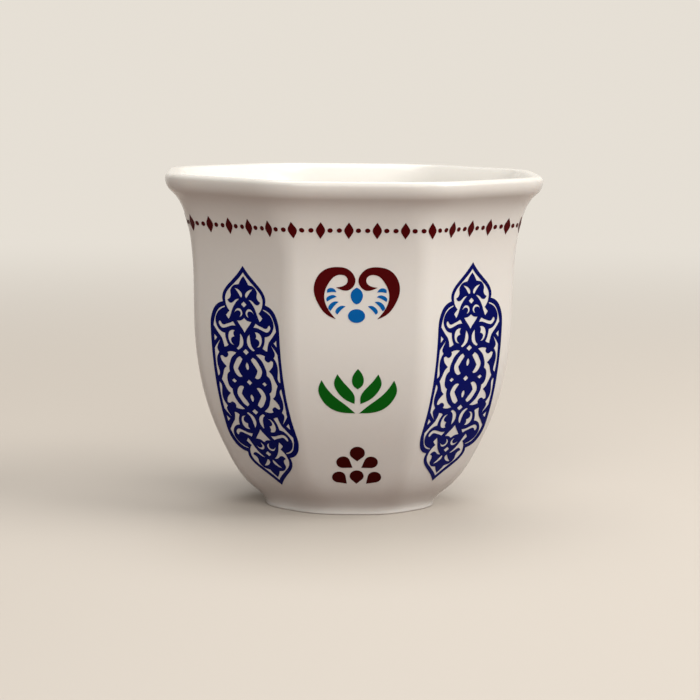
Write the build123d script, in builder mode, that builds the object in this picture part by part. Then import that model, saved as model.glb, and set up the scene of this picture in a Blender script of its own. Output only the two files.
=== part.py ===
from build123d import *
import math
import os

os.makedirs("parts", exist_ok=True)

# Octagonal coffee cup without a handle, standing on the XY plane with its axis on Z.
# One facet faces -Y. All sizes are in millimetres.

# Overall sizes
facets = 8
height = 70.0
mouth_across_corners = 82.0
foot_across_flats = 34.6
body_corner = 5.0
rim_corner = 16.0

# Facet curve: half the distance across the flats, at heights above the table or below the crest of the lip
foot_band = 0.9
heel_half_width = 20.9
heel_height = 4.7
bowl_half_width = 25.2
bowl_height = 11.0
belly_half_width = 29.7
belly_height = 21.0
side_half_width = 32.8
side_height = 38.0
neck_half_width = 33.4
neck_drop = 16.0
flare_half_width = 35.1
flare_drop = 8.0
lip_nose = 1.5
lip_land = 0.3
lip_underside = 45.0

# Wall, floor and foot
wall = 3.0
floor_thickness = 3.0
floor_half_width = 11.0
foot_edge = 0.4
foot_ring = 2.6
foot_recess = 1.6
recess_draft = 20.0

# Printed enamel: film thickness, and its clearance over the glaze
print_film = 0.08
print_seat = 0.02

# Places of the prints along the facet curve: up from the foot, down from the lip, or down from the rim border
petal_foot = 9.5
leaf_foot = 26.4
border_drop = 7.6
horn_drop = 17.9
medallion_drop = 31.6

# Medallion: lobed cartouche with a pointed end, drawn about its centre
medallion_half_length = 23.9
medallion_half_width = 9.85
point_lobe = 6.1
cusp_along = 16.1
side_along = 10.9
diamond_reach = 0.65

# Horn, leaf and petal motifs
almond_width = 2.5
oval_width = 3.2
oval_height = 2.7
upright_leaf_width = 2.3
petal_round = 1.35

# Rim border: lozenges at an even pitch, one of them on each corner of the octagon
lozenges_per_facet = 5
lozenge_width = 1.6
lozenge_height = 3.3

quarters = [(1, 1), (1, -1), (-1, 1), (-1, -1)]
facet_turn = 360.0 / facets
half_facet = math.radians(facet_turn / 2)
foot_half_width = foot_across_flats / 2
lip_half_width = (mouth_across_corners / 2 - rim_corner) * math.cos(half_facet) + rim_corner
neck_level = height - neck_drop
nose_level = height - lip_nose
nose_half_width = lip_half_width - lip_nose
floor_level = foot_recess + floor_thickness
recess_slope = foot_recess * math.tan(math.radians(recess_draft))
flare_slope = (math.sin(math.radians(lip_underside)), math.cos(math.radians(lip_underside)))


def nose_point(turn, inset=0.0):
    """Half width and height on the round of the lip, turned up from its widest line."""
    angle = math.radians(turn)
    return (
        nose_half_width - inset + lip_nose * math.cos(angle),
        nose_level + lip_nose * math.sin(angle),
    )


# Facet curve, from the top of the foot band to the round of the lip
with BuildLine() as facet_line:
    Spline(
        (foot_half_width, foot_band),
        (heel_half_width, heel_height),
        (bowl_half_width, bowl_height),
        (belly_half_width, belly_height),
        (side_half_width, side_height),
        (neck_half_width, neck_level),
        (flare_half_width, height - flare_drop),
        nose_point(-lip_underside),
        tangents=[(0.5, 1.0), flare_slope],
        tangent_scalars=[1.0, 1.0],
    )
facet_curve = facet_line.edges()[0]
border_along = facet_curve.length - border_drop
horn_foot = border_along - horn_drop
medallion_centre = border_along - medallion_drop


def inside_curve(share):
    """Half width and height of a point one wall inside the facet curve, at a share of its length."""
    point = facet_curve.position_at(share)
    along = facet_curve.tangent_at(share)
    return (point.X - along.Y * wall, point.Y + along.X * wall)


# Curve of the hollow: one wall inside the facet curve, rounded into a flat floor
hollow_shares = (0.17, 0.28, 0.42, 0.56, 0.70, 0.80, 0.87, 0.93)
with BuildLine() as hollow_line:
    Spline(
        (floor_half_width, floor_level),
        *[inside_curve(share) for share in hollow_shares],
        nose_point(180 - lip_underside, lip_land),
        tangents=[(1.0, 0.1), flare_slope],
        tangent_scalars=[1.0, 1.0],
    )
hollow_curve = hollow_line.edges()[0]


def corner_radius(level):
    """Corner rounding of the octagon: even over the body, opening softly into the lip."""
    rise = min(max((level - neck_level) / (nose_level - neck_level), 0.0), 1.0)
    return body_corner + (rim_corner - body_corner) * rise * rise * (3 - 2 * rise)


def section(half_width, level):
    """One horizontal section of the cup: an octagon with rounded corners."""
    with BuildSketch(Plane.XY.offset(level)) as outline:
        RegularPolygon(half_width, facets, major_radius=False, rotation=facet_turn / 2)
        fillet(outline.vertices(), corner_radius(level))
    return outline.sketch.face()


def sections_along(curve, steps):
    """Sections at even steps along a curve of half widths and heights."""
    spots = [curve.position_at(step / steps) for step in range(steps + 1)]
    return [section(spot.X, spot.Y) for spot in spots]


def nose_sections(turns, inset=0.0):
    """Sections around the round of the lip."""
    return [section(*nose_point(turn, inset)) for turn in turns]


# Outer form, still solid: foot band, faceted wall and the outer half of the lip
with BuildPart() as outer_form:
    add(section(foot_half_width, 0.0))
    extrude(amount=foot_band)
    chamfer(outer_form.edges().group_by(Axis.Z)[0], foot_edge)
    loft(sections=sections_along(facet_curve, 12))
    loft(sections=nose_sections((-45, -11.25, 22.5, 56.25, 90)))

# Porcelain cup: cast hollow, standing on a foot ring around a shallow recess
with BuildPart() as porcelain_cup:
    add(outer_form.part)
    loft(sections=sections_along(hollow_curve, 14), mode=Mode.SUBTRACT)
    loft(sections=nose_sections((135, 112.5, 90), lip_land), mode=Mode.SUBTRACT)
    loft(
        sections=[
            section(foot_half_width - foot_ring, 0.0),
            section(foot_half_width - foot_ring - recess_slope, foot_recess),
        ],
        mode=Mode.SUBTRACT,
    )
porcelain_cup.part.label = "porcelain_cup"
export_step(porcelain_cup.part, "parts/porcelain_cup.step")

# Enamel film over the front facet and over the corner at its right, a hair clear of the glaze
wall_faces = outer_form.faces().filter_by(lambda face: face.bounding_box().size.Z > height / 2)
front_face = wall_faces.sort_by(Axis.Y)[0]
corner_aim = Vector(math.sin(half_facet), -math.cos(half_facet), 0.0)
corner_face = wall_faces.sort_by(lambda face: -face.center().dot(corner_aim))[0]
with BuildPart() as front_film:
    thicken(front_face.moved(Location((0.0, -print_seat, 0.0))), amount=print_film)
with BuildPart() as corner_film:
    thicken(corner_face.moved(Location(corner_aim * print_seat)), amount=print_film)


def laid(across, along):
    """Place of a printed point on the front facet: across its middle, and along its curve."""
    return (across, facet_curve.position_at(along, PositionMode.LENGTH).Y)


def in_medallion(across, along):
    """Place of a point of the medallion, drawn about its own centre."""
    return laid(across, medallion_centre + along)


def place_prints(print_part, name, first_facet, step):
    """Writes a print once for every facet that carries it, turned about the axis of the cup."""
    for number, facet in enumerate(range(first_facet, facets, step), start=1):
        with BuildPart() as placed:
            add(print_part, rotation=(0, 0, facet * facet_turn))
        placed.part.label = f"{name}_{number}"
        export_step(placed.part, f"parts/{name}_{number}.step")


# Medallion: pierced cartouche, the same in all four quarters, drawn about its centre
flank = [(3.4, 21.1), (5.4, 19.4), (point_lobe, 17.6), (point_lobe - 0.1, cusp_along)]
shoulder = [(8.1, 15.3), (9.4, 13.4), (medallion_half_width, side_along)]
bent_leaf = [(1.5, 5.1), (3.1, 4.9), (4.0, 3.3), (3.6, 1.6), (1.9, 1.0), (2.75, 2.2), (2.3, 3.5)]
side_opening = [(2.4, 5.9), (5.3, 5.7), (6.8, 4.2), (6.0, 2.4), (7.6, 0.0)]
side_stem = [(6.1, 0.0), (5.2, 2.2), (4.2, 4.4)]
kite = [(0.0, 13.3), (1.9, 12.6), (0.0, 10.4), (-1.9, 12.6)]
diamonds = [(0.0, 0.0), (4.45, 0.0), (-4.45, 0.0), (0.0, 6.45), (0.0, -6.45), (0.0, 16.1), (0.0, -16.1)]
with BuildPart() as medallion:
    with BuildSketch(Plane.XZ):
        with BuildLine():
            for end, side in quarters:
                tip = in_medallion(0.0, end * medallion_half_length)
                Spline(tip, *[in_medallion(side * u, end * v) for u, v in flank])
                Spline([in_medallion(side * u, end * v) for u, v in (flank[-1], *shoulder)])
            for side in (1, -1):
                Line(
                    in_medallion(side * medallion_half_width, -side_along),
                    in_medallion(side * medallion_half_width, side_along),
                )
        make_face()
        for end, side in quarters:
            with BuildLine():
                Polyline([in_medallion(side * u, end * v) for u, v in bent_leaf], close=True)
            make_face(mode=Mode.SUBTRACT)
        for side in (1, -1):
            lower = [(u, -v) for u, v in reversed(side_opening[:-1])]
            stem = [(u, -v) for u, v in reversed(side_stem)]
            ring = side_opening + lower + stem + side_stem[1:]
            with BuildLine():
                Polyline([in_medallion(side * u, v) for u, v in ring], close=True)
            make_face(mode=Mode.SUBTRACT)
        for end in (1, -1):
            with BuildLine():
                Polyline([in_medallion(u, end * v) for u, v in kite], close=True)
            make_face(mode=Mode.SUBTRACT)
        with Locations([in_medallion(u, v) for u, v in diamonds]):
            RegularPolygon(diamond_reach, 4, mode=Mode.SUBTRACT)
    extrude(amount=mouth_across_corners)
    add(front_film.part, mode=Mode.INTERSECT)
place_prints(medallion.part, "medallion", 1, 2)

# Horn scrolls: a pair of thick horns that curl inward at the top
horn_back = [(4.1, 0.0), (7.7, 2.8), (8.5, 5.6), (6.7, 9.2), (4.0, 10.0), (0.9, 8.9), (0.8, 6.2), (4.0, 6.1)]
horn_belly = [(4.0, 6.1), (1.8, 6.6), (2.1, 8.1), (4.3, 8.0), (6.5, 5.3), (6.3, 2.8), (4.1, 0.0)]
with BuildPart() as horn_scrolls:
    with BuildSketch(Plane.XZ):
        for side in (1, -1):
            with BuildLine():
                Spline([laid(side * u, horn_foot + v) for u, v in horn_back])
                Spline([laid(side * u, horn_foot + v) for u, v in horn_belly])
            make_face()
    extrude(amount=mouth_across_corners)
    add(front_film.part, mode=Mode.INTERSECT)
place_prints(horn_scrolls.part, "horn_scrolls", 0, 2)

# Horn drops: an almond between the curls, and an oval below it
with BuildPart() as horn_drops:
    with BuildSketch(Plane.XZ):
        with BuildLine():
            for side in (1, -1):
                Spline(
                    laid(0.0, horn_foot + 2.7),
                    laid(side * almond_width / 2, horn_foot + 4.6),
                    laid(0.0, horn_foot + 6.0),
                )
        make_face()
        with Locations(laid(0.0, horn_foot + 0.35)):
            Ellipse(oval_width / 2, oval_height / 2)
    extrude(amount=mouth_across_corners)
    add(front_film.part, mode=Mode.INTERSECT)
place_prints(horn_drops.part, "horn_drops", 0, 2)

# Leaf fan: an upright leaf between two pairs that lean outward
leaf_pairs = [
    ([(0.6, 2.1), (2.3, 2.9), (4.6, 5.6), (4.05, 8.1)], [(4.05, 8.1), (2.9, 6.5), (0.9, 4.1), (0.6, 2.1)]),
    ([(0.4, 0.1), (4.2, 0.7), (7.5, 3.8), (7.2, 6.9)], [(7.2, 6.9), (5.8, 4.7), (2.9, 2.2), (0.4, 0.1)]),
]
with BuildPart() as leaf_fan:
    with BuildSketch(Plane.XZ):
        with BuildLine():
            for side in (1, -1):
                Spline(
                    laid(0.0, leaf_foot + 5.1),
                    laid(side * upright_leaf_width / 2, leaf_foot + 6.9),
                    laid(0.0, leaf_foot + 9.2),
                )
        make_face()
        for side in (1, -1):
            for outer_edge, inner_edge in leaf_pairs:
                with BuildLine():
                    Spline([laid(side * u, leaf_foot + v) for u, v in outer_edge])
                    Spline([laid(side * u, leaf_foot + v) for u, v in inner_edge])
                make_face()
    extrude(amount=mouth_across_corners)
    add(front_film.part, mode=Mode.INTERSECT)
place_prints(leaf_fan.part, "leaf_fan", 0, 2)

# Petal cluster: six drops, each a round end drawn out to a point that leans to the middle
petals = [
    (0.0, 5.8, 0.0, 7.85),
    (0.9, 4.2, 2.75, 5.5),
    (-0.9, 4.2, -2.75, 5.5),
    (1.95, 0.2, 3.5, 1.7),
    (-1.95, 0.2, -3.5, 1.7),
    (0.0, 0.0, 0.0, 2.1),
]
with BuildPart() as petal_cluster:
    with BuildSketch(Plane.XZ):
        for point_u, point_v, round_u, round_v in petals:
            heading = math.atan2(round_v - point_v, round_u - point_u)
            reach = math.hypot(round_u - point_u, round_v - point_v)
            turn = math.pi / 2 + math.asin(petal_round / reach)
            ring = [
                (
                    round_u + petal_round * math.cos(heading + bend),
                    round_v + petal_round * math.sin(heading + bend),
                )
                for bend in (turn, 0.0, -turn)
            ]
            point = laid(point_u, petal_foot + point_v)
            left, crown, right = [laid(u, petal_foot + v) for u, v in ring]
            with BuildLine():
                Line(point, left)
                ThreePointArc(left, crown, right)
                Line(right, point)
            make_face()
    extrude(amount=mouth_across_corners)
    add(front_film.part, mode=Mode.INTERSECT)
place_prints(petal_cluster.part, "petal_cluster", 0, 2)

# Rim border: the lozenges of one facet, and the one that lies on the corner at its right
border_half_width = facet_curve.position_at(border_along, PositionMode.LENGTH).X
border_pitch = 2 * border_half_width * math.tan(half_facet) / lozenges_per_facet
first_lozenge = -(lozenges_per_facet - 2) / 2
flat_lozenges = [(first_lozenge + step) * border_pitch for step in range(lozenges_per_facet - 1)]
lozenge = [(0.0, -0.5), (0.5, 0.0), (0.0, 0.5), (-0.5, 0.0)]
corner_plane = Plane((0, 0, 0), x_dir=(math.cos(half_facet), math.sin(half_facet), 0), z_dir=corner_aim)
with BuildPart() as flat_border:
    with BuildSketch(Plane.XZ):
        for across in flat_lozenges:
            with BuildLine():
                Polyline(
                    [laid(across + u * lozenge_width, border_along + v * lozenge_height) for u, v in lozenge],
                    close=True,
                )
            make_face()
    extrude(amount=mouth_across_corners)
    add(front_film.part, mode=Mode.INTERSECT)
with BuildPart() as corner_border:
    with BuildSketch(corner_plane):
        with BuildLine():
            Polyline(
                [laid(u * lozenge_width, border_along + v * lozenge_height) for u, v in lozenge],
                close=True,
            )
        make_face()
    extrude(amount=mouth_across_corners)
    add(corner_film.part, mode=Mode.INTERSECT)
with BuildPart() as rim_border:
    add(flat_border.part)
    add(corner_border.part)
place_prints(rim_border.part, "rim_border", 0, 1)
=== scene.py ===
"""Arabic coffee cup: an eight-sided porcelain cup without a handle, glazed and printed in colours."""

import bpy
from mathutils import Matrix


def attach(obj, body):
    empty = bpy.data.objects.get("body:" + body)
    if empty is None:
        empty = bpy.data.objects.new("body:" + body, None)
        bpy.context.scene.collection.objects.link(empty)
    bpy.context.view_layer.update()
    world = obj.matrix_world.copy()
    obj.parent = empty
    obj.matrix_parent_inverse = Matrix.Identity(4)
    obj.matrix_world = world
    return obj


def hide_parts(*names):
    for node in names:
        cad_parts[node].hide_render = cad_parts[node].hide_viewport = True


bl_info = {
    "name": "Arabic Coffee Cup",
    "version": (1, 0, 0),
    "blender": (4, 5, 0),
    "location": "View3D > Sidebar > Cup",
    "description": "Dresses an eight-sided porcelain coffee cup with its glaze and its fired-on prints",
    "category": "Object",
}

import math

import bmesh
import bpy
import numpy as np
from mathutils import Matrix, Vector

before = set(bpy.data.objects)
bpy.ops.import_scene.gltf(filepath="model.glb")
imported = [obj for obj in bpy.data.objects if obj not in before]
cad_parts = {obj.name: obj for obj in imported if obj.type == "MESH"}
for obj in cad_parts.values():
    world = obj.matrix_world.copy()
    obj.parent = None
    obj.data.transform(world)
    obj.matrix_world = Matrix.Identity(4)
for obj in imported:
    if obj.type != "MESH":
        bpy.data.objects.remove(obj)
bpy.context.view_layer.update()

MM = 0.001
FACETS = 8
FACET_TURN = 2 * math.pi / FACETS
HALF_FACET = FACET_TURN / 2
FLAT_STEPS = 6
CORNER_STEPS = 6
WALL_RINGS = 62
LIP_RINGS = 10
HOLLOW_RINGS = 58
HOLLOW_SHARES = (0.174, 0.286, 0.43, 0.572, 0.716, 0.818, 0.89, 0.95)
INNER_LIP_TURNS = (90.0, 99.0, 108.0, 117.0, 126.0)
INNER_LIP_END = 135.0
PRINT_FACETS = (0, 2, 4, 6)
MEDALLION_FACETS = (1, 3, 5, 7)
LOZENGES = 5
FILM_START = 60.0 * MM
FLOOR_SIZE = 9.0
BACKDROP_HEIGHT = 2.0
BACKDROP_COVE = 0.6
LIGHT_AIM = (0.0, 0.0, 0.035)


def length_value(label, words, millimetres):
    """A length that a user may change."""
    return bpy.props.FloatProperty(
        name=label, description=words, default=millimetres * MM, min=0.0, unit="LENGTH", precision=5
    )


def lengths_value(label, words, *millimetres):
    """Several lengths that a user may change together."""
    default = [size * MM for size in millimetres]
    return bpy.props.FloatVectorProperty(
        name=label, description=words, size=len(default), default=default, unit="LENGTH", precision=5
    )


def profile_point(label, half_width, height):
    """A point of the facet curve that a user may change."""
    words = "Half the distance across the flats, and the height above the table"
    return lengths_value(label, words, half_width, height)


def angle_value(label, words, degrees):
    """An angle that a user may change."""
    return bpy.props.FloatProperty(
        name=label, description=words, default=math.radians(degrees), subtype="ANGLE"
    )


def amount_value(label, words, amount, unit="NONE"):
    """A strength, a share or a power that a user may change."""
    return bpy.props.FloatProperty(name=label, description=words, default=amount, min=0.0, unit=unit)


def colour_value(label, words, red, green, blue):
    """A colour that a user may change."""
    tone = (red, green, blue, 1.0)
    return bpy.props.FloatVectorProperty(
        name=label, description=words, size=4, subtype="COLOR", default=tone, min=0.0, max=1.0
    )


class CupShape(bpy.types.PropertyGroup):
    """Sizes of the porcelain body"""

    height: length_value("Height", "From the table to the crest of the lip", 70.0)
    mouth: length_value("Mouth", "Across the rounded corners of the lip", 82.0)
    foot: length_value("Foot", "Across the flats of the foot", 35.5)
    body_corner: length_value("Body corner", "Rounding of the octagon's corners over the body", 5.0)
    rim_corner: length_value("Rim corner", "Rounding of the octagon's corners at the lip", 16.0)
    foot_corner: length_value("Foot corner", "Rounding of the octagon's corners at the foot", 12.0)
    foot_band: length_value("Foot band", "Height of the upright band at the foot", 0.9)
    heel: profile_point("Heel", 21.2, 4.7)
    bowl: profile_point("Bowl", 25.35, 11.0)
    belly: profile_point("Belly", 29.7, 21.0)
    side: profile_point("Side", 32.8, 38.0)
    neck: profile_point("Neck", 33.4, 54.0)
    flare: profile_point("Flare", 35.1, 62.0)
    lip_nose: length_value("Lip nose", "Radius of the lip's outer edge", 1.0)
    lip_land: length_value("Lip land", "Flat on the crest of the lip", 0.8)
    lip_inner: length_value("Lip inner edge", "Radius of the lip's inner edge", 1.5)
    lip_roll: length_value("Lip roll", "Radius of the roll from the widest line to the cove", 3.6)
    lip_turn: angle_value("Lip turn", "How far the roll turns under", 51.0)
    wall: length_value("Wall", "Thickness of the wall", 3.0)
    floor: length_value("Floor", "Thickness of the floor", 3.0)
    floor_half: length_value("Floor half width", "Half the width of the flat floor inside", 11.0)
    foot_edge: length_value("Foot edge", "Rounding of the foot's outer edge", 0.4)
    foot_ring: length_value("Foot ring", "Width of the ring that the cup stands on", 2.6)
    foot_recess: length_value("Foot recess", "Depth of the recess under the foot", 1.6)
    recess_draft: angle_value("Recess draft", "Slope of the recess's side", 20.0)
    recess_round: length_value("Recess rounding", "Rounding at the top of the recess", 0.6)
    ring_round: length_value("Ring rounding", "Rounding of the foot ring's inner edge", 0.35)


class CupPrints(bpy.types.PropertyGroup):
    """Places and thickness of the fired-on prints"""

    film: length_value("Film", "Thickness of the fired enamel", 0.06)
    seat: length_value("Seat", "Room between the enamel and the glaze", 0.01)
    medallion_centre: length_value("Medallion", "Centre of the medallion, along the facet", 32.15)
    horn_foot: length_value("Horns", "Foot of the horn scrolls, along the facet", 45.38)
    leaf_foot: length_value("Leaves", "Foot of the leaf fan, along the facet", 25.6)
    petal_foot: length_value("Petals", "Foot of the petal cluster, along the facet", 8.72)
    border_drop: length_value("Border", "Drop of the rim border below the lip's roll", 7.07)
    leaf_shift: length_value("Leaf shift", "Place of the leaf fan, right of the facet's middle", 0.44)
    petal_shift: length_value("Petal shift", "Place of the petals, right of the facet's middle", 0.66)
    border_shift: length_value("Border shift", "How far the rim border is turned to the right", 1.06)
    medallion_shifts: lengths_value(
        "Medallion shifts", "Place of each medallion, right of its facet's middle", 0.4, 0.2, 0.5, 1.5
    )
    medallion_drops: lengths_value(
        "Medallion drops", "How far each medallion sits below the common centre", 0.0, 0.1, 0.0, 1.05
    )
    medallion_leans: bpy.props.FloatVectorProperty(
        name="Medallion leans",
        description="Lean of each medallion's foot to the right, as a share of its length",
        size=4,
        default=(0.0, 0.004, 0.002, 0.025),
        precision=4,
    )
    lozenge_width: length_value("Lozenge width", "Width of a lozenge of the rim border", 1.85)
    lozenge_height: length_value("Lozenge height", "Height of a lozenge of the rim border", 3.5)
    bead_offset: length_value("Bead offset", "From the middle of a lozenge to a bead beside it", 1.9)
    bead_width: length_value("Bead width", "Width of a bead of the rim border", 1.05)
    bead_height: length_value("Bead height", "Height of a bead of the rim border", 0.95)


class CupFinish(bpy.types.PropertyGroup):
    """Colours of the glaze and the enamels"""

    porcelain: colour_value("Porcelain", "Colour of the glazed body", 0.80, 0.783, 0.742)
    bare_clay: colour_value("Bare clay", "Colour of the unglazed foot ring", 0.70, 0.66, 0.60)
    cobalt: colour_value("Cobalt", "Enamel of the medallions", 0.0004, 0.003, 0.105)
    burgundy: colour_value("Burgundy", "Enamel of the rim border and the horns", 0.075, 0.0016, 0.0024)
    light_blue: colour_value("Light blue", "Enamel of the drops between the horns", 0.002, 0.115, 0.40)
    green: colour_value("Green", "Enamel of the leaf fan", 0.004, 0.11, 0.0065)
    dark_red: colour_value("Dark red", "Enamel of the petal cluster", 0.046, 0.0016, 0.0008)
    gloss: amount_value("Glaze roughness", "Roughness of the fired glaze", 0.13)


class CupStage(bpy.types.PropertyGroup):
    """Floor, light and camera"""

    floor: colour_value("Floor", "Colour of the floor", 0.53, 0.49, 0.44)
    backdrop: colour_value("Backdrop", "Colour of the backdrop as the camera sees it", 0.79, 0.74, 0.665)
    bounce: colour_value("Bounce", "Colour that the floor throws back on the cup", 0.12, 0.06, 0.04)
    key: amount_value("Key light", "Power of the light at the right", 3.3, "POWER")
    top: amount_value("Top light", "Power of the light above and behind", 4.0, "POWER")
    fill: amount_value("Front fill", "Power of the broad light in front", 5.35, "POWER")
    ambient: amount_value("Ambient", "Strength of the light from all around", 0.37)
    camera_distance: length_value("Camera distance", "From the axis of the cup, level", 604.5)
    camera_height: length_value("Camera height", "Above the table", 100.64)
    camera_azimuth: angle_value("Camera azimuth", "Round the cup from its front", -1.8)
    camera_pitch: angle_value("Camera pitch", "Downward tilt", 6.448)
    camera_roll: angle_value("Camera roll", "Turn about the line of sight", 0.62)
    camera_yaw: angle_value("Camera yaw", "Turn to the left of the axis", 0.02)
    lens: amount_value("Lens", "Focal length on a 36 mm sensor", 147.96, "CAMERA")


def smooth_run(points, count, start=None, end=None):
    """Points at even steps on the smooth curve through given points, with end directions where given."""
    spots = np.array(points, dtype=float)
    chords = np.linalg.norm(np.diff(spots, axis=0), axis=1)
    total = len(spots)
    system = np.zeros((total, total))
    rates = np.zeros((total, 2))
    for i in range(1, total - 1):
        before, after = chords[i - 1], chords[i]
        system[i, i - 1 : i + 2] = (1 / before, 2 / before + 2 / after, 1 / after)
        rates[i] = 3 * ((spots[i] - spots[i - 1]) / before**2 + (spots[i + 1] - spots[i]) / after**2)
    for i, j, chord, given in ((0, 1, chords[0], start), (-1, -2, chords[-1], end)):
        if given is None:
            system[i, i] = 2.0
            system[i, j] = 1.0
            rates[i] = 3 * (spots[max(i, j)] - spots[min(i, j)]) / chord
        else:
            system[i, i] = 1.0
            rates[i] = np.array(given) / np.linalg.norm(given)
    slopes = np.linalg.solve(system, rates)
    knots = np.concatenate([[0.0], np.cumsum(chords)])
    places = np.linspace(0.0, knots[-1], count)
    spans = np.clip(np.searchsorted(knots, places, side="right") - 1, 0, total - 2)
    width = chords[spans]
    share = ((places - knots[spans]) / width)[:, None]
    width = width[:, None]
    run = (2 * share**3 - 3 * share**2 + 1) * spots[spans]
    run += (share**3 - 2 * share**2 + share) * width * slopes[spans]
    run += (3 * share**2 - 2 * share**3) * spots[spans + 1]
    run += (share**3 - share**2) * width * slopes[spans + 1]
    return run


def lip_half_width(shape):
    """Half the distance across the flats at the lip's widest line."""
    return (shape.mouth / 2 - shape.rim_corner) * math.cos(HALF_FACET) + shape.rim_corner


def lip_crest(shape, angle, inner=False):
    """Half width and height on the outer or inner round of the crest, turned up from the level."""
    crest = lip_half_width(shape) - shape.lip_nose
    nose = shape.lip_nose
    if inner:
        crest -= shape.lip_land
        nose = shape.lip_inner
    return (crest + nose * math.cos(angle), shape.height - nose + nose * math.sin(angle))


def lip_under(shape, angle):
    """Half width and height on the roll below the lip's widest line, turned down from the level."""
    return (
        lip_half_width(shape) - shape.lip_roll * (1 - math.cos(angle)),
        shape.height - shape.lip_nose - shape.lip_roll * math.sin(angle),
    )


class FacetCurve:
    """The curve up the middle of a facet, measured along its length."""

    def __init__(self, shape):
        points = [(shape.foot / 2, shape.foot_band)]
        points += [tuple(spot) for spot in (shape.heel, shape.bowl, shape.belly)]
        points += [tuple(spot) for spot in (shape.side, shape.neck, shape.flare)]
        points.append(lip_under(shape, shape.lip_turn))
        into_roll = (math.sin(shape.lip_turn), math.cos(shape.lip_turn))
        self.run = smooth_run(points, 1500, (0.5, 1.0), into_roll)
        steps = np.linalg.norm(np.diff(self.run, axis=0), axis=1)
        self.lengths = np.concatenate([[0.0], np.cumsum(steps)])
        self.length = float(self.lengths[-1])

    def at(self, along):
        """Half width and height at a distance along the curve."""
        return (
            float(np.interp(along, self.lengths, self.run[:, 0])),
            float(np.interp(along, self.lengths, self.run[:, 1])),
        )

    def inside(self, share, wall):
        """The point one wall inside the curve at a share of its length."""
        along = share * self.length
        here = np.array(self.at(along))
        ahead = np.array(self.at(along + 0.1 * MM)) - np.array(self.at(along - 0.1 * MM))
        ahead /= np.linalg.norm(ahead)
        return (here[0] - ahead[1] * wall, here[1] + ahead[0] * wall)


def corner_at(shape, half_width, height):
    """Corner rounding of the octagon at a height: even over the body, opening to the lip and the foot."""
    start = shape.neck[1]
    rise = min(max((height - start) / (shape.height - shape.lip_nose - start), 0.0), 1.0)
    radius = shape.body_corner + (shape.rim_corner - shape.body_corner) * rise * rise * (3 - 2 * rise)
    fall = min(max(1 - height / shape.bowl[1], 0.0), 1.0)
    radius += (shape.foot_corner - shape.body_corner) * fall * fall * (3 - 2 * fall)
    return min(radius, half_width * 0.9)


def octagon_ring(half_width, corner):
    """Points round an octagon with rounded corners, from the middle of the front facet."""
    flat = (half_width - corner) * math.tan(HALF_FACET)
    centre = (half_width - corner) / math.cos(HALF_FACET)
    ring = []
    for facet in range(FACETS):
        aim = facet * FACET_TURN - math.pi / 2
        out = np.array((math.cos(aim), math.sin(aim)))
        across = np.array((-math.sin(aim), math.cos(aim)))
        for step in range(FLAT_STEPS + 1):
            ring.append(out * half_width + across * flat * (2 * step / FLAT_STEPS - 1))
        middle = aim + HALF_FACET
        pivot = centre * np.array((math.cos(middle), math.sin(middle)))
        for step in range(1, CORNER_STEPS):
            turn = aim + FACET_TURN * step / CORNER_STEPS
            ring.append(pivot + corner * np.array((math.cos(turn), math.sin(turn))))
    return sorted(ring, key=lambda spot: turn_from_front(spot[0], spot[1]))


def turn_from_front(x, y):
    """Angle round the axis from the middle of the front facet."""
    return (math.atan2(y, x) + math.pi / 2 + 1e-4) % (2 * math.pi)


def round_corner(spot, before, after, radius, steps=4):
    """Points that round off one corner of a profile."""
    spot, before, after = np.array(spot), np.array(before), np.array(after)
    back = (before - spot) / np.linalg.norm(before - spot)
    ahead = (after - spot) / np.linalg.norm(after - spot)
    first, last = spot + back * radius, spot + ahead * radius
    shares = np.linspace(0.0, 1.0, steps + 1)[:, None]
    bend = (1 - shares) ** 2 * first + 2 * shares * (1 - shares) * spot + shares**2 * last
    return [tuple(place) for place in bend]


def body_profile(shape):
    """Half widths and heights from under the foot, up the wall, over the lip and down to the floor."""
    curve = FacetCurve(shape)
    foot_half = shape.foot / 2
    ring_inner = foot_half - shape.foot_ring
    slope = shape.foot_recess * math.tan(shape.recess_draft)
    recess = (ring_inner - slope, shape.foot_recess)
    inner_edge = (ring_inner, 0.0)
    outer_edge = (foot_half, 0.0)
    profile = [(recess[0] * 0.5, recess[1])]
    profile += round_corner(recess, profile[0], inner_edge, shape.recess_round)
    profile += round_corner(inner_edge, recess, outer_edge, shape.ring_round)
    profile += round_corner(outer_edge, inner_edge, curve.at(0.0), shape.foot_edge)
    profile += [curve.at(along) for along in np.linspace(0.0, curve.length, WALL_RINGS)]
    profile += [lip_under(shape, turn) for turn in np.linspace(shape.lip_turn, 0.0, LIP_RINGS)[1:]]
    profile += [lip_crest(shape, turn) for turn in np.linspace(0.0, math.pi / 2, LIP_RINGS)[1:]]
    profile += [lip_crest(shape, math.radians(turn), True) for turn in INNER_LIP_TURNS]
    floor_level = shape.foot_recess + shape.floor
    hollow = [(shape.floor_half, floor_level)]
    hollow += [curve.inside(share, shape.wall) for share in HOLLOW_SHARES]
    hollow.append(lip_crest(shape, math.radians(INNER_LIP_END), True))
    down = smooth_run(hollow, HOLLOW_RINGS, (1.0, 0.1), (1.0, 1.0))[::-1]
    profile += [tuple(spot) for spot in down]
    profile.append((shape.floor_half * 0.5, floor_level))
    return profile


def deselect_all():
    """Leaves nothing selected and object mode on."""
    if bpy.context.object and bpy.context.object.mode != "OBJECT":
        bpy.ops.object.mode_set(mode="OBJECT")
    bpy.ops.object.select_all(action="DESELECT")


def make_active(piece):
    """Selects one object alone."""
    deselect_all()
    piece.select_set(True)
    bpy.context.view_layer.objects.active = piece


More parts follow.
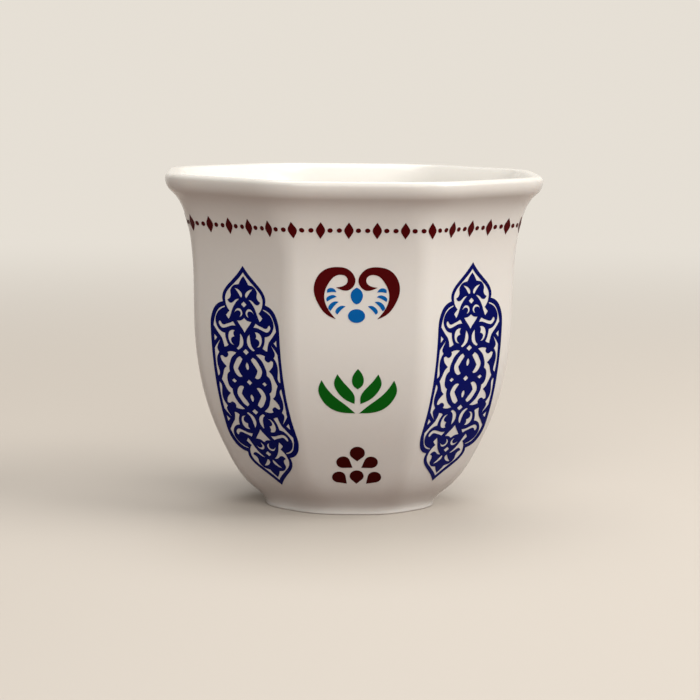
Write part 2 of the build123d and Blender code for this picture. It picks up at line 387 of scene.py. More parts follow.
def apply_modifier(piece, name, kind, **settings):
    """Adds a modifier, sets it and applies it."""
    modifier = piece.modifiers.new(name, kind)
    for key, value in settings.items():
        setattr(modifier, key, value)
    make_active(piece)
    bpy.ops.object.modifier_apply(modifier=modifier.name)


def settle(piece, slot, material, *nodes):
    """Gives a finished piece its finish and its place among the parts."""
    piece.data.materials.clear()
    piece.data.materials.append(material)
    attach(piece, "root")
    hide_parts(*nodes)


def group_tree(name, inputs, outputs):
    """A new shader node group with its sockets."""
    tree = bpy.data.node_groups.new(name, "ShaderNodeTree")
    for label, kind, default in inputs:
        socket = tree.interface.new_socket(label, in_out="INPUT", socket_type=kind)
        socket.default_value = default
    for label, kind in outputs:
        tree.interface.new_socket(label, in_out="OUTPUT", socket_type=kind)
    return tree, tree.nodes.new("NodeGroupInput"), tree.nodes.new("NodeGroupOutput")


def feed(tree, value, slot):
    """Links a socket to an input, or sets the input to a plain value."""
    if isinstance(value, bpy.types.NodeSocket):
        tree.links.new(value, slot)
    else:
        slot.default_value = value


def math_node(tree, operation, *values):
    """The result of a math node."""
    node = tree.nodes.new("ShaderNodeMath")
    node.operation = operation
    for slot, value in zip(node.inputs, values):
        feed(tree, value, slot)
    return node.outputs[0]


def range_node(tree, value, given, wanted=(0.0, 1.0), blend="LINEAR"):
    """A value moved from one range to another."""
    node = tree.nodes.new("ShaderNodeMapRange")
    node.interpolation_type = blend
    for label, limit in zip(("From Min", "From Max", "To Min", "To Max"), given + wanted):
        node.inputs[label].default_value = limit
    tree.links.new(value, node.inputs["Value"])
    return node.outputs["Result"]


def mix_node(tree, share, first, second):
    """A colour between two colours."""
    node = tree.nodes.new("ShaderNodeMix")
    node.data_type = "RGBA"
    for place, value in ((0, share), (6, first), (7, second)):
        feed(tree, value, node.inputs[place])
    return node.outputs[2]


def noise_node(tree, scale, detail):
    """Noise on the piece's own coordinates."""
    coords = tree.nodes.new("ShaderNodeTexCoord")
    noise = tree.nodes.new("ShaderNodeTexNoise")
    noise.inputs["Scale"].default_value = scale
    noise.inputs["Detail"].default_value = detail
    tree.links.new(coords.outputs["Object"], noise.inputs["Vector"])
    return noise.outputs["Fac"]


def fired_tone_group():
    """Colour that drifts a little over the surface, as in a hand-dipped glaze or a printed enamel."""
    if "Fired Tone" in bpy.data.node_groups:
        return bpy.data.node_groups["Fired Tone"]
    tree, given, result = group_tree(
        "Fired Tone",
        (("Colour", "NodeSocketColor", (1.0, 1.0, 1.0, 1.0)), ("Drift", "NodeSocketFloat", 0.05)),
        (("Colour", "NodeSocketColor"),),
    )
    broad = noise_node(tree, scale=38.0, detail=2.0)
    fine = noise_node(tree, scale=900.0, detail=2.0)
    fine_share = 0.35
    blend = math_node(tree, "MULTIPLY_ADD", fine, fine_share, broad)
    centred = math_node(tree, "SUBTRACT", blend, (1 + fine_share) / 2)
    share = math_node(tree, "MULTIPLY_ADD", centred, given.outputs["Drift"], 1.0)
    tint = tree.nodes.new("ShaderNodeVectorMath")
    tint.operation = "SCALE"
    tree.links.new(given.outputs["Colour"], tint.inputs[0])
    tree.links.new(share, tint.inputs["Scale"])
    tree.links.new(tint.outputs["Vector"], result.inputs["Colour"])
    return tree


def fired_ripple_group():
    """Height and roughness of the slight waves and pinholes that a fired glaze has."""
    if "Fired Ripple" in bpy.data.node_groups:
        return bpy.data.node_groups["Fired Ripple"]
    tree, given, result = group_tree(
        "Fired Ripple",
        (("Wave", "NodeSocketFloat", 1.0), ("Grain", "NodeSocketFloat", 0.1)),
        (("Height", "NodeSocketFloat"), ("Roughness", "NodeSocketFloat")),
    )
    wave = noise_node(tree, scale=70.0, detail=1.0)
    grain = noise_node(tree, scale=2600.0, detail=2.0)
    waves = math_node(tree, "MULTIPLY", wave, given.outputs["Wave"])
    height = math_node(tree, "MULTIPLY_ADD", grain, given.outputs["Grain"], waves)
    tree.links.new(height, result.inputs["Height"])
    rough = range_node(tree, wave, given=(0.3, 0.7), wanted=(0.85, 1.15))
    tree.links.new(rough, result.inputs["Roughness"])
    return tree


def fired_material(name, colour, roughness, drift, wave, grain):
    """A glossy fired surface; returns the material, its shader, its colour and its roughness."""
    material = bpy.data.materials.new(name)
    material.use_nodes = True
    tree = material.node_tree
    shader = tree.nodes["Principled BSDF"]
    shader.inputs["IOR"].default_value = 1.52
    tone = tree.nodes.new("ShaderNodeGroup")
    tone.node_tree = fired_tone_group()
    tone.inputs["Colour"].default_value = tuple(colour)
    tone.inputs["Drift"].default_value = drift
    tree.links.new(tone.outputs["Colour"], shader.inputs["Base Color"])
    ripple = tree.nodes.new("ShaderNodeGroup")
    ripple.node_tree = fired_ripple_group()
    ripple.inputs["Wave"].default_value = wave
    ripple.inputs["Grain"].default_value = grain
    bump = tree.nodes.new("ShaderNodeBump")
    bump.inputs["Strength"].default_value = 0.35
    bump.inputs["Distance"].default_value = 0.12 * MM
    tree.links.new(ripple.outputs["Height"], bump.inputs["Height"])
    tree.links.new(bump.outputs["Normal"], shader.inputs["Normal"])
    rough = math_node(tree, "MULTIPLY", ripple.outputs["Roughness"], roughness)
    tree.links.new(rough, shader.inputs["Roughness"])
    return material, shader, tone.outputs["Colour"], rough


def porcelain_material(finish):
    """Warm white glazed porcelain, left bare and dull where the foot ring meets the table."""
    material, shader, colour, rough = fired_material(
        "Glazed Porcelain", finish.porcelain, finish.gloss, drift=0.06, wave=1.0, grain=0.05
    )
    tree = material.node_tree
    shader.inputs["Subsurface Weight"].default_value = 0.12
    shader.inputs["Subsurface Radius"].default_value = (1.0, 0.85, 0.7)
    shader.inputs["Subsurface Scale"].default_value = 1.2 * MM
    coords = tree.nodes.new("ShaderNodeTexCoord")
    split = tree.nodes.new("ShaderNodeSeparateXYZ")
    tree.links.new(coords.outputs["Object"], split.inputs["Vector"])
    bare = range_node(tree, split.outputs["Z"], given=(0.22 * MM, 0.08 * MM))
    clay = mix_node(tree, bare, colour, tuple(finish.bare_clay))
    tree.links.new(clay, shader.inputs["Base Color"])
    added_roughness = 0.55
    dull = math_node(tree, "MULTIPLY_ADD", bare, added_roughness, rough)
    tree.links.new(dull, shader.inputs["Roughness"])
    return material


def enamel_material(finish, tone):
    """Fired print enamel in one of the finish's colours, a little less even than the glaze under it."""
    name = f"{tone} enamel".replace("_", " ").title()
    if name in bpy.data.materials:
        return bpy.data.materials[name]
    colour = getattr(finish, tone)
    material, shader, _, _ = fired_material(name, colour, roughness=0.3, drift=0.35, wave=1.0, grain=0.12)
    shader.inputs["Specular IOR Level"].default_value = 0.03
    return material


class CUP_OT_body(bpy.types.Operator):
    """Draws the rounded octagon up the wall, over the lip and down the hollow to the floor"""

    bl_idname = "coffee_cup.body"
    bl_label = "Porcelain Body"

    def execute(self, context):
        shape = context.scene.cup_shape
        profile = body_profile(shape)
        count = FACETS * (FLAT_STEPS + CORNER_STEPS)
        deselect_all()
        bpy.ops.mesh.primitive_circle_add(vertices=count, radius=shape.foot / 4, enter_editmode=True)
        body = context.object
        body.name = "glazed_body"
        for number, (half_width, height) in enumerate(profile):
            if number:
                bpy.ops.mesh.extrude_edges_move()
            mesh = bmesh.from_edit_mesh(body.data)
            loop = [vert for vert in mesh.verts if vert.select]
            loop.sort(key=lambda vert: turn_from_front(vert.co.x, vert.co.y))
            ring = octagon_ring(half_width, corner_at(shape, half_width, height))
            for vert, spot in zip(loop, ring, strict=True):
                vert.co = (spot[0], spot[1], height)
            bmesh.update_edit_mesh(body.data)
        bpy.ops.mesh.edge_face_add()
        bpy.ops.mesh.select_all(action="DESELECT")
        bpy.ops.mesh.select_non_manifold()
        bpy.ops.mesh.edge_face_add()
        bpy.ops.mesh.select_all(action="SELECT")
        bpy.ops.mesh.normals_make_consistent(inside=False)
        bpy.ops.object.mode_set(mode="OBJECT")
        bpy.ops.object.shade_smooth_by_angle(angle=math.radians(40))
        settle(body, "porcelain", porcelain_material(context.scene.cup_finish), "porcelain_cup")
        return {"FINISHED"}


def closed_outline(strokes, step=0.16):
    """One closed outline from smooth strokes that meet in corners."""
    outline = []
    for stroke in strokes:
        if len(stroke) == 2:
            outline.append(stroke[0])
            continue
        length = sum(math.dist(a, b) for a, b in zip(stroke, stroke[1:]))
        run = smooth_run(stroke, max(int(length / step), len(stroke)) + 1)
        outline += [tuple(spot) for spot in run[:-1]]
    return outline


def flipped(strokes, across=1, along=1):
    """Strokes mirrored about the motif's axes."""
    return [[(u * across, v * along) for u, v in stroke] for stroke in strokes]


def backward(strokes):
    """The same strokes drawn from their end to their start."""
    return [stroke[::-1] for stroke in strokes[::-1]]


def both_sides(strokes, across=1, along=1):
    """Closes strokes that start and end on a mirror line with their own mirror image."""
    return strokes + backward(flipped(strokes, across, along))


def diamond(u, v, half_width, half_height):
    """A small diamond."""
    ring = [(u, v + half_height), (u + half_width, v), (u, v - half_height), (u - half_width, v)]
    return [[a, b] for a, b in zip(ring, ring[1:] + ring[:1])]


def drop(point, centre, radius):
    """A petal: a round end drawn out to a point."""
    heading = math.atan2(centre[1] - point[1], centre[0] - point[0])
    reach = math.dist(point, centre)
    turn = math.pi / 2 + math.asin(radius / reach) * 0.75
    turns = heading + np.linspace(turn, -turn, 15)
    ring = [(centre[0] + radius * math.cos(t), centre[1] + radius * math.sin(t)) for t in turns]
    return [[point, ring[0]], ring, [ring[-1], point]]


def oval(u, v, half_width, half_height):
    """A smooth oval."""
    turns = np.linspace(0.0, 2 * math.pi, 25)
    return [[(u + half_width * math.cos(t), v + half_height * math.sin(t)) for t in turns]]


def film_piece(name, context, outlines, level_cuts, upright_cuts=()):
    """Enamel film on the front facet from outlines in millimetres across it, and heights in metres."""
    prints = context.scene.cup_prints
    data = bpy.data.curves.new(name, "CURVE")
    data.dimensions = "2D"
    data.fill_mode = "BOTH"
    for outline in outlines:
        spline = data.splines.new("POLY")
        spline.points.add(len(outline) - 1)
        for point, (u, height) in zip(spline.points, outline):
            point.co = (u * MM, height, 0.0, 1.0)
        spline.use_cyclic_u = True
    piece = bpy.data.objects.new(name, data)
    context.scene.collection.objects.link(piece)
    make_active(piece)
    bpy.ops.object.convert(target="MESH")
    piece = context.object
    piece.rotation_euler = (math.pi / 2, 0.0, 0.0)
    piece.location = (0.0, -FILM_START, 0.0)
    bpy.ops.object.transform_apply(location=True, rotation=True, scale=True)
    bpy.ops.object.mode_set(mode="EDIT")
    cuts = [((0.0, 0.0, height), (0.0, 0.0, 1.0)) for height in level_cuts]
    cuts += [((across, 0.0, 0.0), (1.0, 0.0, 0.0)) for across in upright_cuts]
    for place, facing in cuts:
        bpy.ops.mesh.select_all(action="SELECT")
        bpy.ops.mesh.bisect(plane_co=place, plane_no=facing)
    bpy.ops.object.mode_set(mode="OBJECT")
    apply_modifier(
        piece,
        "Seat",
        "SHRINKWRAP",
        target=bpy.data.objects["glazed_body"],
        wrap_method="PROJECT",
        wrap_mode="ABOVE_SURFACE",
        use_project_y=True,
        use_positive_direction=True,
        use_negative_direction=False,
        offset=prints.seat + prints.film,
    )
    apply_modifier(piece, "Thickness", "SOLIDIFY", thickness=prints.film, offset=-1.0)
    make_active(piece)
    bpy.ops.object.shade_smooth_by_angle(angle=math.radians(35))
    return piece


def lay_round(piece, facets, finish, tone, node):
    """Copies a print to every facet that carries it and settles each copy in one enamel."""
    material = enamel_material(finish, tone)
    for number, facet in enumerate(facets, start=1):
        placed = piece if number == len(facets) else piece.copy()
        if placed is not piece:
            placed.data = piece.data.copy()
            bpy.context.scene.collection.objects.link(placed)
        placed.data.transform(Matrix.Rotation(facet * FACET_TURN, 4, "Z"))
        placed.name = f"{node}_print_{number}"
        settle(placed, f"{tone}_enamel", material, f"{node}_{number}")


def on_facet(curve, loops, foot, shift=0.0):
    """Lays flat outlines on the facet curve, measured along it from a foot and shifted across it."""
    outlines = [closed_outline(loop) for loop in loops]
    return [[(u + shift / MM, curve.at(foot + v * MM)[1]) for u, v in outline] for outline in outlines]


def level_steps(curve, low, high, step):
    """Heights at even steps along the facet curve."""
    count = max(int((high - low) / step), 1)
    return [curve.at(along)[1] for along in np.linspace(low, high, count + 1)[1:-1]]


def lay_motif(context, node, loops, foot, reach, tone, shift=0.0, step=0.9):
    """Makes one motif's film on the front facet and lays it on every facet between the medallions."""
    curve = FacetCurve(context.scene.cup_shape)
    cuts = level_steps(curve, foot + reach[0] * MM, foot + reach[1] * MM, step * MM)
    piece = film_piece(node, context, on_facet(curve, loops, foot, shift), cuts)
    lay_round(piece, PRINT_FACETS, context.scene.cup_finish, tone, node)
    return {"FINISHED"}


# Medallion, drawn in millimetres about its centre: upper right quarter of the outline and the openings
POINTED_END = [
    [
        (0.0, 23.9), (1.0, 22.8), (2.3, 21.6), (3.9, 20.3),
        (5.2, 19.15), (5.95, 18.1), (6.2, 17.2), (6.05, 16.3),
    ],
    [(6.05, 16.3), (7.2, 15.95), (8.5, 15.0), (9.3, 13.7), (9.7, 12.5), (9.85, 10.9)],
]
STRAIGHT_SIDE = [[(9.85, 10.9), (9.85, -10.9)]]
END_BAND = [
    [
        (0.0, 22.6), (0.87, 21.7), (1.95, 20.8), (3.1, 19.9),
        (4.3, 18.95), (5.1, 18.0), (5.4, 17.2), (5.35, 16.4),
    ],
    [(5.35, 16.4), (5.2, 15.75)],
    [(5.2, 15.75), (4.8, 15.1), (4.2, 14.5)],
    [(4.2, 14.5), (4.7, 14.1), (5.25, 13.6)],
    [(5.25, 13.6), (4.9, 13.2), (4.45, 12.75)],
    [(4.45, 12.75), (3.9, 13.7), (3.45, 14.7), (2.9, 15.6), (2.2, 16.4), (1.35, 17.1)],
    [(1.35, 17.1), (1.9, 17.05), (2.8, 16.6), (3.45, 16.2), (4.1, 16.2), (4.7, 16.75)],
    [
        (4.7, 16.75), (3.95, 17.2), (3.7, 17.8), (3.8, 18.6),
        (3.45, 19.3), (2.7, 19.85), (1.95, 20.0), (1.35, 20.1),
    ],
    [(1.35, 20.1), (1.1, 20.5), (0.6, 21.2), (0.0, 21.8)],
]
SIDE_OPENING = [
    [(8.05, 0.0), (7.35, 1.3), (6.9, 2.2), (6.1, 2.85)],
    [(6.1, 2.85), (6.9, 3.5), (7.4, 4.1), (7.6, 4.9)],
    [(7.6, 4.9), (7.0, 5.1), (6.35, 4.75), (5.7, 4.85), (5.25, 5.4), (5.45, 5.9)],
    [(5.45, 5.9), (4.7, 6.1), (3.7, 6.15), (2.8, 6.0)],
    [(2.8, 6.0), (3.5, 5.5), (4.3, 4.85), (5.0, 3.7), (5.35, 2.7), (5.3, 1.85)],
    [(5.3, 1.85), (5.85, 1.5), (6.25, 0.85), (6.35, 0.0)],
]
KITE = [
    [(0.0, 13.3), (0.7, 12.85), (2.1, 12.65)],
    [(2.1, 12.65), (1.3, 11.75), (0.4, 10.8), (0.0, 10.25)],
]
SMALL_ALMOND = [[(0.0, 4.2), (0.35, 3.8), (0.45, 3.2), (0.25, 2.75), (0.0, 2.6)]]
# Diamonds: distance from the centre, half the width and half the height
END_DIAMONDS = [(16.05, 0.8, 0.62), (6.35, 0.85, 0.62)]
SIDE_DIAMOND = (4.35, 0.68, 0.45)
MIDDLE_DIAMOND = (0.78, 0.6)
QUARTER_OPENINGS = [
    # teardrop beside the bud
    [
        [(2.6, 19.25), (1.7, 19.1), (0.9, 18.65), (0.45, 18.1), (0.5, 17.6), (0.8, 17.4)],
        [(0.8, 17.4), (1.2, 17.85), (1.7, 18.45), (2.6, 19.25)],
    ],
    # thin curl
    [
        [(1.35, 13.4), (0.75, 13.7), (0.45, 14.2), (0.7, 14.85), (1.4, 15.2), (2.1, 15.05), (2.95, 14.0)],
        [
            (2.95, 14.0), (2.3, 14.6), (1.75, 14.75), (1.2, 14.6),
            (0.95, 14.2), (1.05, 13.85), (1.35, 13.4),
        ],
    ],
    # curled arm
    [
        [(2.6, 11.55), (2.95, 12.05), (3.3, 12.4)],
        [(3.3, 12.4), (4.1, 12.05), (5.0, 11.8), (6.0, 11.55), (6.55, 11.75), (6.85, 12.15), (7.2, 12.3)],
        [
            (7.2, 12.3), (7.45, 11.9), (7.1, 11.2), (6.4, 10.85),
            (5.6, 10.95), (4.6, 11.25), (3.7, 11.5), (2.6, 11.55),
        ],
    ],
    # line round the shoulder that opens into a star
    [
        [(5.45, 15.42), (6.5, 15.15), (7.7, 14.35), (8.4, 13.2), (8.8, 12.1), (9.0, 11.2)],
        [(9.0, 11.2), (7.9, 9.95), (6.85, 8.9)],
        [(6.85, 8.9), (6.4, 7.9), (6.2, 6.95)],
        [(6.2, 6.95), (5.5, 7.1), (4.9, 7.4)],
        [(4.9, 7.4), (5.4, 8.3), (5.65, 9.2), (5.7, 9.85)],
        [
            (5.7, 9.85), (6.5, 10.0), (7.4, 10.5), (8.05, 11.3),
            (8.35, 12.3), (8.0, 13.5), (7.2, 14.4), (6.2, 14.95),
        ],
        [(6.2, 14.95), (5.45, 15.2)],
        [(5.45, 15.2), (5.45, 15.42)],
    ],
    # triangle against the side
    [
        [(8.95, 9.4), (8.1, 8.75)],
        [(8.1, 8.75), (8.95, 8.0)],
        [(8.95, 8.0), (8.95, 9.4)],
    ],
    # sliver along the side
    [
        [(7.15, 8.5), (8.2, 7.5), (9.05, 6.5)],
        [(9.05, 6.5), (9.1, 4.6), (9.1, 2.6), (8.95, 0.6)],
        [(8.95, 0.6), (8.4, 1.1), (8.45, 2.2), (8.7, 3.5), (8.55, 4.6), (7.8, 5.75)],
        [(7.8, 5.75), (8.25, 6.4), (8.0, 7.2), (7.15, 8.5)],
    ],
    # hook
    [
        [(2.9, 10.6), (3.6, 10.6), (4.35, 10.3), (4.8, 9.5), (4.7, 8.5), (4.2, 7.8), (3.2, 7.55)],
        [(3.2, 7.55), (3.95, 8.15), (4.05, 8.7), (3.6, 9.15), (3.05, 9.3)],
        [(3.05, 9.3), (3.25, 10.0), (2.9, 10.6)],
    ],
    # crescent beside the stem
    [
        [(1.35, 10.1), (0.7, 9.35), (0.5, 8.5), (0.7, 7.7), (1.35, 7.05), (2.15, 6.65)],
        [(2.15, 6.65), (2.65, 6.9)],
        [(2.65, 6.9), (2.0, 7.4), (1.6, 8.2), (1.45, 9.2), (1.35, 10.1)],
    ],
    # bent leaf
    [
        [(1.2, 4.8), (1.85, 5.35)],
        [
            (1.85, 5.35), (2.75, 4.85), (3.6, 3.8), (4.1, 2.85),
            (3.8, 1.8), (3.1, 1.1), (2.2, 0.95), (1.8, 1.15),
        ],
        [(1.8, 1.15), (2.4, 1.9), (2.8, 2.65)],
        [(2.8, 2.65), (2.2, 3.5), (1.6, 4.2), (1.2, 4.8)],
    ],
]


def medallion_loops():
    """All outlines of the medallion: the border, then the openings that show the glaze."""
    right = POINTED_END + STRAIGHT_SIDE + backward(flipped(POINTED_END, along=-1))
    loops = [both_sides(right, across=-1)]
    for end in (1, -1):
        loops.append(flipped(both_sides(END_BAND, across=-1), along=end))
        loops.append(flipped(both_sides(KITE, across=-1), along=end))
        loops.append(flipped(both_sides(SMALL_ALMOND, across=-1), along=end))
        loops += [diamond(0.0, far * end, *halves) for far, *halves in END_DIAMONDS]
        for side in (1, -1):
            loops += [flipped(opening, side, end) for opening in QUARTER_OPENINGS]
    for side in (1, -1):
        loops.append(flipped(both_sides(SIDE_OPENING, along=-1), across=side))
        loops.append(diamond(SIDE_DIAMOND[0] * side, 0.0, *SIDE_DIAMOND[1:]))
    loops.append(diamond(0.0, 0.0, *MIDDLE_DIAMOND))
    return loops


class CUP_OT_medallions(bpy.types.Operator):
    """Lays the pierced cobalt medallions on every second facet"""

    bl_idname = "coffee_cup.medallions"
    bl_label = "Cobalt Medallions"

    def execute(self, context):
        prints = context.scene.cup_prints
        curve = FacetCurve(context.scene.cup_shape)
        centre = prints.medallion_centre
        half_length = 24 * MM
        material = enamel_material(context.scene.cup_finish, "cobalt")
        cuts = level_steps(curve, centre - half_length, centre + half_length, 1.3 * MM)
        uprights = np.arange(10.6 * MM, 12.8 * MM, 0.5 * MM)
        loops = medallion_loops()
        for number, facet in enumerate(MEDALLION_FACETS, start=1):
            lean = prints.medallion_leans[number - 1]
            leaning = [[[(u - v * lean, v) for u, v in stroke] for stroke in loop] for loop in loops]
            low = centre - prints.medallion_drops[number - 1]
            outlines = on_facet(curve, leaning, low, prints.medallion_shifts[number - 1])
            piece = film_piece(f"medallion_print_{number}", context, outlines, cuts, uprights)
            piece.data.transform(Matrix.Rotation(facet * FACET_TURN, 4, "Z"))
            settle(piece, "cobalt_enamel", material, f"medallion_{number}")
        return {"FINISHED"}


# Horn scrolls, drops, leaves and petals, drawn in millimetres above their own foot
HORN = [
    [
        (4.15, -0.15), (6.0, 0.75), (7.7, 2.9), (8.6, 5.5), (8.15, 7.9), (6.65, 9.65), (4.1, 10.32),
        (1.95, 9.95), (0.7, 8.8), (0.3, 7.6), (0.75, 6.35), (1.8, 5.62), (3.0, 5.7), (4.15, 6.2),
    ],
    [
        (4.15, 6.2), (3.05, 6.4), (2.15, 6.9), (1.85, 7.7), (2.25, 8.45), (3.05, 8.75),
        (4.3, 8.5), (5.55, 7.2), (6.35, 5.5), (6.45, 3.85), (5.7, 1.85), (4.15, -0.15),
    ],
]
ALMOND_DROP = [[(0.0, 6.19), (0.72, 5.75), (1.22, 4.8), (0.98, 3.65), (0.5, 3.05), (0.0, 2.84)]]
LOW_OVAL = (0.0, 0.49, 1.71, 1.38)
HALF_MOONS = [
    ((5.92, 5.12), (5.04, 6.1), (4.08, 5.25)),
    ((5.92, 3.35), (5.25, 4.62), (4.0, 4.3)),
    ((5.18, 1.5), (5.12, 3.02), (3.6, 3.32)),
    ((3.82, 0.78), (3.66, 2.25), (2.22, 2.42)),
]
UPRIGHT_LEAF = [[(0.0, 9.53), (0.67, 8.7), (1.18, 7.35), (0.88, 6.0), (0.0, 5.28)]]
LEANING_LEAVES = [
    [
        [(0.6, 2.15), (2.3, 2.95), (4.1, 4.75), (4.78, 6.55), (4.1, 8.4)],
        [(4.1, 8.4), (2.9, 6.75), (1.5, 5.2), (0.62, 3.75), (0.6, 2.15)],
    ],
    [
        [(0.4, 0.1), (2.7, 0.2), (5.05, 0.93), (7.0, 2.75), (7.9, 5.35), (7.28, 7.15)],
        [(7.28, 7.15), (6.2, 5.4), (4.6, 3.65), (2.3, 1.8), (0.4, 0.1)],
    ],
]
# Petals: the point, the middle of the round end and its radius
MIDDLE_PETALS = [((0.0, 5.75), (0.0, 7.75), 1.53), ((0.0, 0.0), (0.0, 2.05), 1.42)]
SIDE_PETALS = [((0.9, 4.15), (2.82, 5.5), 1.4), ((1.95, 0.05), (3.62, 1.75), 1.38)]


def half_moon(far, crown, near):
    """A small half-moon bead between two points, rounded over its crown."""
    far, crown, near = np.array(far), np.array(crown), np.array(near)
    middle = (far + near) / 2
    rise = crown - middle
    arch = [far, far + rise * 0.62, crown, near + rise * 0.5 + (far - near) * 0.12, near]
    belly = [near, middle + rise * 0.12, far]
    return [[tuple(spot) for spot in arch], [tuple(spot) for spot in belly]]


class CUP_OT_horns(bpy.types.Operator):
    """Lays the pairs of burgundy horn scrolls on the facets between the medallions"""

    bl_idname = "coffee_cup.horns"
    bl_label = "Horn Scrolls"

    def execute(self, context):
        foot = context.scene.cup_prints.horn_foot
        loops = [flipped(HORN, across=side) for side in (1, -1)]
        return lay_motif(context, "horn_scrolls", loops, foot, (-1, 11), "burgundy")


class CUP_OT_drops(bpy.types.Operator):
    """Lays the light blue almond, oval and half-moon beads between the horns"""

    bl_idname = "coffee_cup.drops"
    bl_label = "Horn Drops"

    def execute(self, context):
        foot = context.scene.cup_prints.horn_foot
        loops = [both_sides(ALMOND_DROP, across=-1), oval(*LOW_OVAL)]
        for side in (1, -1):
            loops += [flipped(half_moon(*moon), across=side) for moon in HALF_MOONS]
        return lay_motif(context, "horn_drops", loops, foot, (-2, 7), "light_blue")


class CUP_OT_leaves(bpy.types.Operator):
    """Lays the green leaf fans below the horns"""

    bl_idname = "coffee_cup.leaves"
    bl_label = "Leaf Fans"

    def execute(self, context):
        prints = context.scene.cup_prints
        loops = [both_sides(UPRIGHT_LEAF, across=-1)]
        for side in (1, -1):
            loops += [flipped(leaf, across=side) for leaf in LEANING_LEAVES]
        foot, shift = prints.leaf_foot, prints.leaf_shift
        return lay_motif(context, "leaf_fan", loops, foot, (-1, 10), "green", shift)


class CUP_OT_petals(bpy.types.Operator):
    """Lays the dark red petal clusters above the foot"""

    bl_idname = "coffee_cup.petals"
    bl_label = "Petal Clusters"

    def execute(self, context):
        prints = context.scene.cup_prints
        loops = [drop(*petal) for petal in MIDDLE_PETALS]
        for side in (1, -1):
            loops += [flipped(drop(*petal), across=side) for petal in SIDE_PETALS]
        foot, shift = prints.petal_foot, prints.petal_shift
        return lay_motif(context, "petal_cluster", loops, foot, (-1, 10), "dark_red", shift, 0.7)


class CUP_OT_border(bpy.types.Operator):
    """Lays the border of lozenges and beads under the lip, one strip to each facet"""

    bl_idname = "coffee_cup.border"
    bl_label = "Rim Border"

    def execute(self, context):
        shape = context.scene.cup_shape
        prints = context.scene.cup_prints
        curve = FacetCurve(shape)
        along = curve.length - prints.border_drop
        half_width, level = curve.at(along)
        corner = corner_at(shape, half_width, level)
        flat = (half_width - corner) * math.tan(HALF_FACET)
        pitch = (2 * flat + corner * FACET_TURN) / LOZENGES

        def across(place):
            """Straight-on place of a point measured round the facet and its corner."""
            over = max(abs(place) - flat, 0.0)
            return math.copysign(min(abs(place), flat) + corner * math.sin(over / corner), place) / MM

        half_w = prints.lozenge_width / 2 / MM
        half_h = prints.lozenge_height / 2 / MM
        waist, shoulder = half_w * 0.62, half_h * 0.5
        right = [(0.0, half_h), (waist, shoulder), (half_w, 0.0), (waist, -shoulder), (0.0, -half_h)]
        lozenge = both_sides([right], across=-1)
        bead = oval(0.0, 0.0, prints.bead_width / 2 / MM, prints.bead_height / 2 / MM)
        outlines = []
        for step in range(LOZENGES):
            place = (step - 1.5) * pitch + prints.border_shift
            beside = prints.bead_offset
            for middle, loop in ((place, lozenge), (place + beside, bead), (place - beside, bead)):
                ring = closed_outline(loop, 0.12)
                outlines.append([(across(middle + u * MM), curve.at(along + v * MM)[1]) for u, v in ring])
        cuts = level_steps(curve, along - 2 * MM, along + 2 * MM, 0.4 * MM)
        reach = across(2.5 * pitch + 4.5 * MM) * MM
        uprights = np.arange(flat, reach, 0.4 * MM)
        piece = film_piece("rim_border", context, outlines, cuts, uprights)
        lay_round(piece, range(FACETS), context.scene.cup_finish, "burgundy", "rim_border")
        return {"FINISHED"}


def stage_material(settings):
    """Plain floor that fades into an even backdrop, and throws a deeper tone back on the cup."""
    material = bpy.data.materials.new("Plain Floor")
    material.use_nodes = True
    tree = material.node_tree
    shader = tree.nodes["Principled BSDF"]
    shader.inputs["Roughness"].default_value = 0.42
    shader.inputs["Specular IOR Level"].default_value = 0.3
    path = tree.nodes.new("ShaderNodeLightPath").outputs
    seen = math_node(tree, "MAXIMUM", path["Is Camera Ray"], path["Is Glossy Ray"])
    seen = math_node(tree, "MAXIMUM", seen, path["Is Transmission Ray"])
    tone = mix_node(tree, seen, tuple(settings.bounce), tuple(settings.floor))
    tree.links.new(tone, shader.inputs["Base Color"])
    coords = tree.nodes.new("ShaderNodeTexCoord")
    reach = tree.nodes.new("ShaderNodeVectorMath")
    reach.operation = "LENGTH"
    tree.links.new(coords.outputs["Object"], reach.inputs[0])
    far = range_node(tree, reach.outputs["Value"], given=(0.12, 0.75), blend="SMOOTHSTEP")
    share = math_node(tree, "MULTIPLY", far, seen)
    even = tree.nodes.new("ShaderNodeEmission")
    even.inputs["Color"].default_value = tuple(settings.backdrop)
    blend = tree.nodes.new("ShaderNodeMixShader")
    tree.links.new(share, blend.inputs[0])
    tree.links.new(shader.outputs[0], blend.inputs[1])
    tree.links.new(even.outputs[0], blend.inputs[2])
    tree.links.new(blend.outputs[0], tree.nodes["Material Output"].inputs["Surface"])
    return material


def area_light(name, place, size, power, colour):
    """A soft square light that looks at the middle of the cup."""
    bpy.ops.object.light_add(type="AREA", location=place)
    light = bpy.context.object
    light.name = name
    light.data.size = size
    light.data.energy = power
    light.data.color = colour
    back = light.location - Vector(LIGHT_AIM)
    light.rotation_euler = back.to_track_quat("Z", "Y").to_euler()


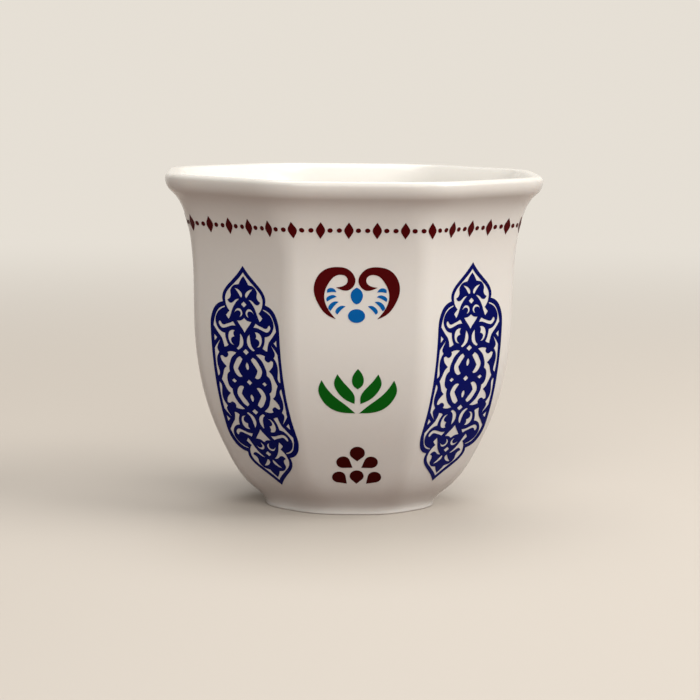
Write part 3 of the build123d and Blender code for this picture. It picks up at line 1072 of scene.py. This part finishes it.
class CUP_OT_stage(bpy.types.Operator):
    """Sets the floor, the lights and the camera"""

    bl_idname = "coffee_cup.stage"
    bl_label = "Stage"

    def execute(self, context):
        scene = context.scene
        settings = scene.cup_stage
        deselect_all()
        bpy.ops.mesh.primitive_plane_add(size=FLOOR_SIZE, location=(0.0, 0.0, 0.0), enter_editmode=True)
        back = FLOOR_SIZE * 0.45
        floor = context.object
        floor.name = "floor"
        mesh = bmesh.from_edit_mesh(floor.data)
        for edge in mesh.edges:
            edge.select_set(all(vert.co.y > back for vert in edge.verts))
        bmesh.update_edit_mesh(floor.data)
        bpy.ops.mesh.extrude_edges_move(TRANSFORM_OT_translate={"value": (0.0, 0.0, BACKDROP_HEIGHT)})
        mesh = bmesh.from_edit_mesh(floor.data)
        for edge in mesh.edges:
            edge.select_set(all(vert.co.y > back and vert.co.z < 0.1 for vert in edge.verts))
        bmesh.update_edit_mesh(floor.data)
        bpy.ops.mesh.bevel(offset=BACKDROP_COVE, segments=12)
        bpy.ops.mesh.select_all(action="SELECT")
        bpy.ops.mesh.normals_make_consistent(inside=False)
        bpy.ops.object.mode_set(mode="OBJECT")
        bpy.ops.object.shade_smooth()
        floor.data.materials.append(stage_material(settings))

        warm, warmer = (1.0, 0.97, 0.93), (1.0, 0.96, 0.92)
        area_light("key_light", (0.55, -0.15, 0.45), 0.5, settings.key, warm)
        area_light("top_light", (0.05, 0.25, 0.85), 0.7, settings.top, warm)
        area_light("fill_light", (0.04, -0.87, 0.5), 0.9, settings.fill, warmer)
        world = bpy.data.worlds.new("Soft Room")
        world.use_nodes = True
        background = world.node_tree.nodes["Background"]
        background.inputs["Color"].default_value = (1.0, 0.95, 0.89, 1.0)
        background.inputs["Strength"].default_value = settings.ambient
        scene.world = world

        bpy.ops.object.camera_add()
        camera = context.object
        camera.name = "camera"
        turn = settings.camera_azimuth
        reach = settings.camera_distance
        spot = (reach * math.sin(turn), -reach * math.cos(turn), settings.camera_height)
        place = Matrix.Translation(spot) @ Matrix.Rotation(turn + settings.camera_yaw, 4, "Z")
        place = place @ Matrix.Rotation(math.pi / 2 - settings.camera_pitch, 4, "X")
        camera.matrix_world = place @ Matrix.Rotation(settings.camera_roll, 4, "Z")
        camera.data.sensor_width = 36.0
        camera.data.lens = settings.lens
        camera.data.clip_start = 0.01
        scene.camera = camera
        scene.view_settings.view_transform = "Standard"
        return {"FINISHED"}


class CUP_PT_panel(bpy.types.Panel):
    """Sizes, colours and steps of the coffee cup"""

    bl_label = "Arabic Coffee Cup"
    bl_idname = "CUP_PT_panel"
    bl_space_type = "VIEW_3D"
    bl_region_type = "UI"
    bl_category = "Cup"

    def draw(self, context):
        for name in GROUPS:
            group = getattr(context.scene, name)
            box = self.layout.box()
            for value in group.bl_rna.properties.keys():
                if value not in {"rna_type", "name"}:
                    box.prop(group, value)
        for step in STEPS:
            self.layout.operator(step.bl_idname)


GROUPS = {"cup_shape": CupShape, "cup_prints": CupPrints, "cup_finish": CupFinish, "cup_stage": CupStage}
STEPS = (
    CUP_OT_body,
    CUP_OT_medallions,
    CUP_OT_horns,
    CUP_OT_drops,
    CUP_OT_leaves,
    CUP_OT_petals,
    CUP_OT_border,
    CUP_OT_stage,
)
CLASSES = (*GROUPS.values(), *STEPS, CUP_PT_panel)


def register():
    """Adds the classes and the settings."""
    for kind in CLASSES:
        bpy.utils.register_class(kind)
    for name, group in GROUPS.items():
        setattr(bpy.types.Scene, name, bpy.props.PointerProperty(type=group))


def unregister():
    """Takes the settings and the classes away again."""
    for name in GROUPS:
        delattr(bpy.types.Scene, name)
    for kind in reversed(CLASSES):
        bpy.utils.unregister_class(kind)


def main():
    """Makes the whole cup."""
    register()
    bpy.ops.coffee_cup.body()
    bpy.ops.coffee_cup.medallions()
    bpy.ops.coffee_cup.horns()
    bpy.ops.coffee_cup.drops()
    bpy.ops.coffee_cup.leaves()
    bpy.ops.coffee_cup.petals()
    bpy.ops.coffee_cup.border()
    bpy.ops.coffee_cup.stage()


if __name__ == "__main__":
    main()
